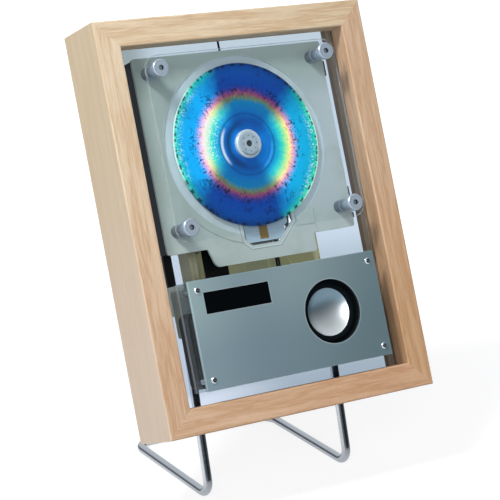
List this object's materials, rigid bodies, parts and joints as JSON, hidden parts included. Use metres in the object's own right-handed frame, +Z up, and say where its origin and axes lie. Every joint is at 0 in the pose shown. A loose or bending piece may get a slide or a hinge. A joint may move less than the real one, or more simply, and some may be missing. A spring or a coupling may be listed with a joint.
{
  "type": "wall mounted cd player",
  "caption": "Framed disc player with a clear cover over an open turntable, a speaker and display panel below, and a bent rod stand.",
  "frame": {"origin": "on the ground under the middle of the whole player, at the bottom centre of its bounding box", "axes": "+Z up, -Y out of the front, +X to the right seen from the front; the frame leans back by 22 degrees"},
  "size_m": [0.223, 0.1548, 0.3417],
  "materials": {
    "frame_wood": "satin",
    "clear_acrylic": "clear",
    "smoky_acrylic": "clear",
    "deck_plastic": "satin",
    "black_plastic": "matte",
    "dark_grey_plastic": "satin",
    "sled_plastic": "satin",
    "khaki_plastic": "matte",
    "disc_polycarbonate": "mirror",
    "clamp_plastic": "gloss",
    "black_rubber": "matte",
    "lead_rubber": "satin",
    "bright_steel": "satin",
    "stand_steel": "satin",
    "polished_rod": "polished",
    "chassis_metal": "satin",
    "knob_metal": "satin",
    "faceplate_metal": "brushed",
    "cone_metal": "satin",
    "basket_metal": "satin",
    "magnet_ferrite": "matte",
    "lens_glass": "polished",
    "display_glass": "gloss",
    "flex_film": "gloss",
    "board_laminate": "satin",
    "cell_wrap": "satin"
  },
  "bodies": {
    "player": {"aerial_lead": "lead_rubber", "audio_jack": "black_plastic", "back_panel": "clear_acrylic", "battery_pack": "cell_wrap", "carrier_plate": "clear_acrylic", "chassis_plate": "chassis_metal", "chassis_screws": "bright_steel", "clear_cover": "clear_acrylic", "cover_posts": "knob_metal", "damper_grommets": "black_rubber", "deck_plate": "deck_plastic", "display_module": "board_laminate", "display_window": "display_glass", "faceplate": "faceplate_metal", "faceplate_pillars": "bright_steel", "faceplate_screws": "bright_steel", "frame_bottom_rail": "frame_wood", "frame_left_stile": "frame_wood", "frame_right_stile": "frame_wood", "frame_top_rail": "frame_wood", "front_box": "black_plastic", "guide_rods": "polished_rod", "housing_screws": "bright_steel", "main_board": "board_laminate", "mechanism_housing": "black_plastic", "power_lead": "lead_rubber", "rear_box": "black_plastic", "rear_housing": "khaki_plastic", "rear_lid": "khaki_plastic", "retaining_beads": "frame_wood", "ribbon_cable": "lead_rubber", "rod_holders": "dark_grey_plastic", "rod_sockets": "khaki_plastic", "side_bracket": "black_plastic", "sled_motor": "bright_steel", "speaker_basket": "basket_metal", "speaker_magnet": "magnet_ferrite", "speaker_surround": "black_rubber", "spindle_motor": "bright_steel", "stand_rod": "stand_steel", "usb_inlet": "bright_steel", "wiring_cover": "smoky_acrylic"},
    "turntable": {"turntable_hub": "dark_grey_plastic", "disc": "disc_polycarbonate", "disc_clamp": "clamp_plastic"},
    "sled_screw": {"lead_screw": "bright_steel"},
    "pickup": {"pickup_sled": "sled_plastic", "sled_flex": "flex_film"},
    "lens": {"lens_holder": "dark_grey_plastic", "objective_lens": "lens_glass"},
    "cone": {"speaker_cone": "cone_metal"},
    "switch_slider": {"power_switch": "black_plastic"},
    "knob_top_left": {"cover_knob_top_left": "knob_metal"},
    "knob_top_right": {"cover_knob_top_right": "knob_metal"},
    "knob_bottom_left": {"cover_knob_bottom_left": "knob_metal"},
    "knob_bottom_right": {"cover_knob_bottom_right": "knob_metal"},
    "button_previous_key": {"button_previous": "dark_grey_plastic"},
    "button_play_key": {"button_play": "dark_grey_plastic"},
    "button_next_key": {"button_next": "dark_grey_plastic"},
    "button_mode_key": {"button_mode": "dark_grey_plastic"}
  },
  "joints": [
    {"name": "disc_spin", "type": "hinge", "parent": "player", "child": "turntable", "pos_m": [0, 0.0089, 0.24749], "axis": [0, -0.9272, 0.3746], "continuous": true},
    {"name": "sled_screw_turn", "type": "hinge", "parent": "player", "child": "sled_screw", "pos_m": [0.028, -0.00533, 0.19251], "axis": [0, 0.3746, 0.9272], "range_deg": [-360, 3360]},
    {"name": "sled_travel", "type": "slide", "parent": "player", "child": "pickup", "axis": [0, 0.3746, 0.9272], "range_m": [-0.003, 0.028]},
    {"name": "lens_focus", "type": "slide", "parent": "pickup", "child": "lens", "axis": [0, -0.9272, 0.3746], "range_m": [-0.0004, 0.0004], "stiffness_N_per_m": 60},
    {"name": "cone_travel", "type": "slide", "parent": "player", "child": "cone", "axis": [0, -0.9272, 0.3746], "range_m": [-0.0008, 0.0008], "stiffness_N_per_m": 1200},
    {"name": "cover_knob_top_left_turn", "type": "hinge", "parent": "player", "child": "knob_top_left", "pos_m": [-0.069, 0.01393, 0.30877], "axis": [0, -0.9272, 0.3746], "continuous": true},
    {"name": "cover_knob_top_right_turn", "type": "hinge", "parent": "player", "child": "knob_top_right", "pos_m": [0.069, 0.01393, 0.30877], "axis": [0, -0.9272, 0.3746], "continuous": true},
    {"name": "cover_knob_bottom_left_turn", "type": "hinge", "parent": "player", "child": "knob_bottom_left", "pos_m": [-0.069, -0.0287, 0.20325], "axis": [0, -0.9272, 0.3746], "continuous": true},
    {"name": "cover_knob_bottom_right_turn", "type": "hinge", "parent": "player", "child": "knob_bottom_right", "pos_m": [0.069, -0.0287, 0.20325], "axis": [0, -0.9272, 0.3746], "continuous": true},
    {"name": "power_switch_slide", "type": "slide", "parent": "player", "child": "switch_slider", "axis": [0, 0.3746, 0.9272], "range_m": [0, 0.003]},
    {"name": "button_previous_press", "type": "slide", "parent": "player", "child": "button_previous_key", "axis": [0, -0.9272, 0.3746], "range_m": [0, 0.0005], "stiffness_N_per_m": 400, "springref_m": -0.001},
    {"name": "button_play_press", "type": "slide", "parent": "player", "child": "button_play_key", "axis": [0, -0.9272, 0.3746], "range_m": [0, 0.0005], "stiffness_N_per_m": 400, "springref_m": -0.001},
    {"name": "button_next_press", "type": "slide", "parent": "player", "child": "button_next_key", "axis": [0, -0.9272, 0.3746], "range_m": [0, 0.0005], "stiffness_N_per_m": 400, "springref_m": -0.001},
    {"name": "button_mode_press", "type": "slide", "parent": "player", "child": "button_mode_key", "axis": [0, -0.9272, 0.3746], "range_m": [0, 0.0005], "stiffness_N_per_m": 400, "springref_m": -0.001}
  ],
  "couplings": [
    {"joint": "sled_screw_turn", "follows": "sled_travel", "rad_per_m": 2094.4}
  ]
}
